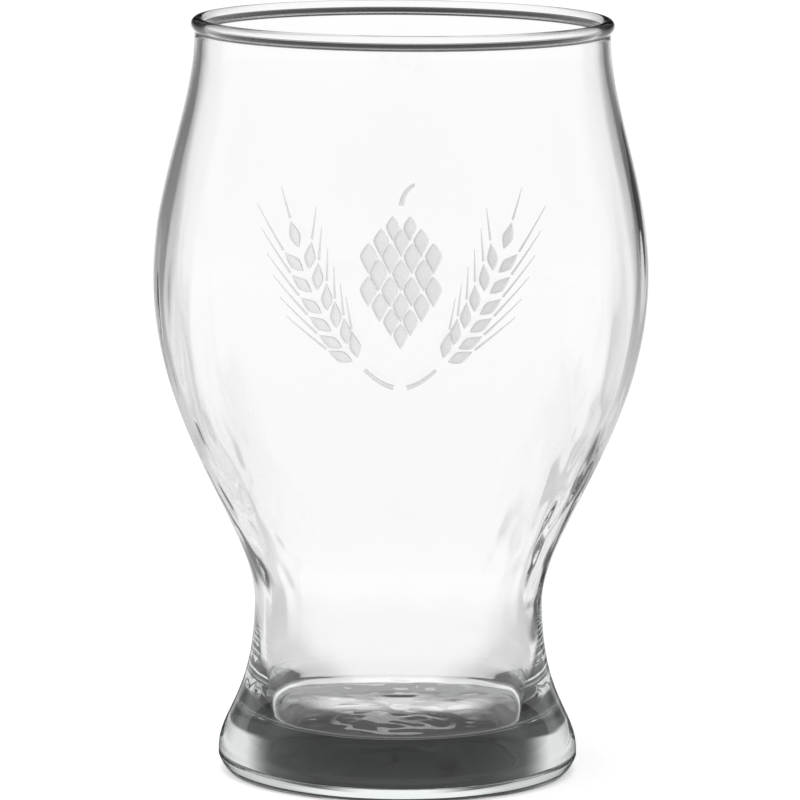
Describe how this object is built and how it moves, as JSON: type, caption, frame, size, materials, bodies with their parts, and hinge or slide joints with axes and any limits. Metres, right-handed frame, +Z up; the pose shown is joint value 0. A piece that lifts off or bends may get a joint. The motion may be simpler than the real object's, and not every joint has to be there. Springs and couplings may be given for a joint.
{
  "type": "beer glass",
  "caption": "Clear drinking glass for beer with a beaded rim, a wide belly, a drawn-in waist and a heavy solid foot to stand on.",
  "frame": {"origin": "centre of the standing ring, on the plane that the glass stands on", "axes": "+Z up along the axis of the glass, from the foot to the rim; X and Y across it, alike all round"},
  "size_m": [0.0952, 0.0952, 0.146],
  "materials": {
    "clear_glass": "clear soda-lime glass, smooth as moulded, fire-polished at the rim"
  },
  "bodies": {
    "root": {"rim": "clear_glass", "bowl": "clear_glass", "foot": "clear_glass"}
  },
  "joints": []
}
